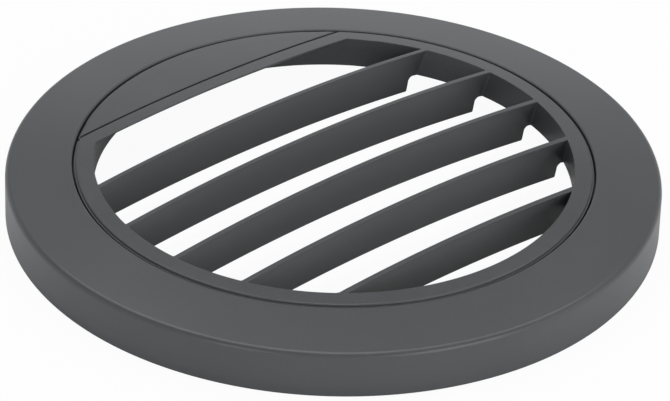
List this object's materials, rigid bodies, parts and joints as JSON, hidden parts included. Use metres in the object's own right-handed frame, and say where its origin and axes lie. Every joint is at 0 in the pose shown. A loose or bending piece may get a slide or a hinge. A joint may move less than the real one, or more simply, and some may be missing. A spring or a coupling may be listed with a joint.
{
  "type": "heater air outlet",
  "caption": "Round warm-air outlet: a crowned bezel ring with a straight skirt, and a louvre insert with leaning slats and a blank panel that turns in it to aim the air.",
  "frame": {"origin": "centre of the circle on which the skirt's lower edge stands, on the axis of the outlet", "axes": "+Z out of the face along the axis, +Y towards the blank panel, +X along the slats"},
  "size_m": [0.12, 0.12, 0.0135],
  "materials": {
    "bezel": "satin moulded plastic, anthracite",
    "insert": "finely grained moulded plastic, anthracite"
  },
  "bodies": {
    "bezel": {"bezel_ring": "bezel"},
    "insert": {"louvre_insert": "insert"}
  },
  "joints": [
    {"name": "insert_turn", "type": "hinge", "parent": "bezel", "child": "insert", "pos_m": [0, 0, 0], "axis": [0, 0, 1], "continuous": true}
  ]
}
